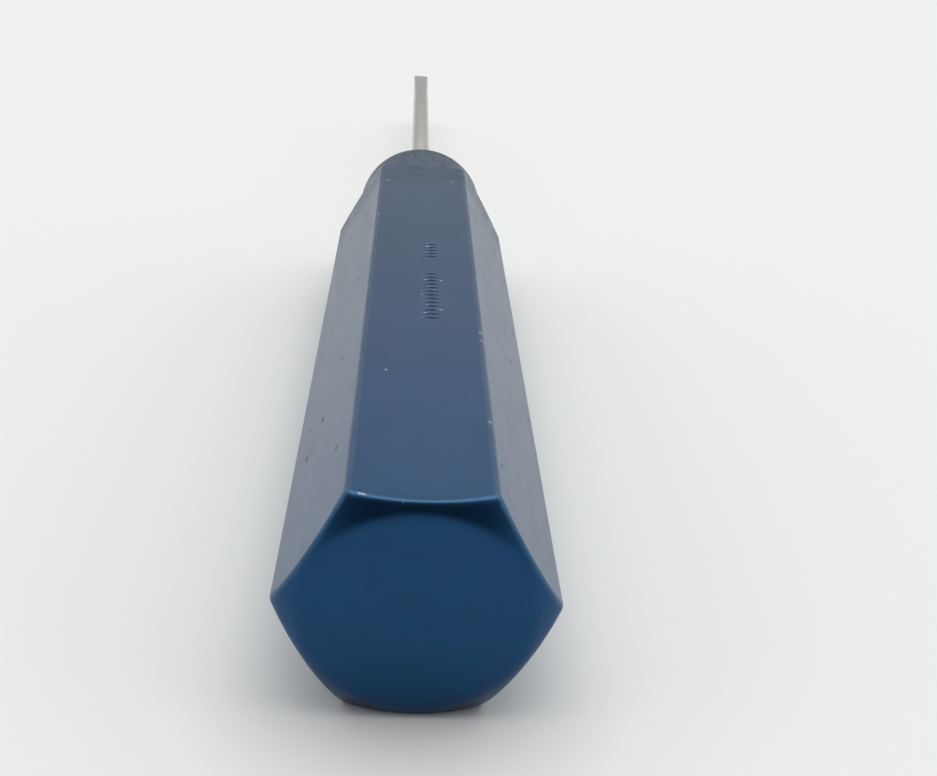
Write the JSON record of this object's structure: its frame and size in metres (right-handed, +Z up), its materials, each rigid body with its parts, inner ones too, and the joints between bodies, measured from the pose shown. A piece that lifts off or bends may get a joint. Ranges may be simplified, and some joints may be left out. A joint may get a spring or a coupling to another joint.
{
  "type": "watchmaker screwdriver",
  "caption": "Watchmaker's screwdriver with a hexagonal blue anodised handle and a thin round steel blade clamped by a set screw",
  "frame": {"origin": "on the surface that the handle rests on, under the middle of the overall length from butt to blade tip", "axes": "+Y along the screwdriver's axis towards the blade tip, +Z up from the flat that it rests on, +X to the right seen from the butt"},
  "size_m": [0.0138, 0.1212, 0.012],
  "materials": {
    "blue_anodised_aluminium": "satin blue anodised, worn a little on the edges",
    "blade_steel": "hardened and fine ground",
    "blackened_screw_steel": "black oxide",
    "pad_brass": "plain turned brass"
  },
  "bodies": {
    "handle": {"handle": "blue_anodised_aluminium"},
    "blade": {"blade": "blade_steel"},
    "pressure_pad": {"pressure_pad": "pad_brass"},
    "set_screw": {"set_screw": "blackened_screw_steel"}
  },
  "joints": [
    {"name": "blade_slide", "type": "slide", "parent": "handle", "child": "blade", "axis": [0, 1, 0], "range_m": [0, 0.02]},
    {"name": "set_screw_travel", "type": "slide", "parent": "handle", "child": "pressure_pad", "axis": [0.866, 0, -0.5], "range_m": [0, 0.0032]},
    {"name": "set_screw_turn", "type": "hinge", "parent": "pressure_pad", "child": "set_screw", "pos_m": [0, -0.0106, 0.006], "axis": [0.866, 0, -0.5], "range_deg": [0, 2880]}
  ],
  "couplings": [
    {"joint": "set_screw_turn", "follows": "set_screw_travel", "rad_per_m": 15708}
  ]
}
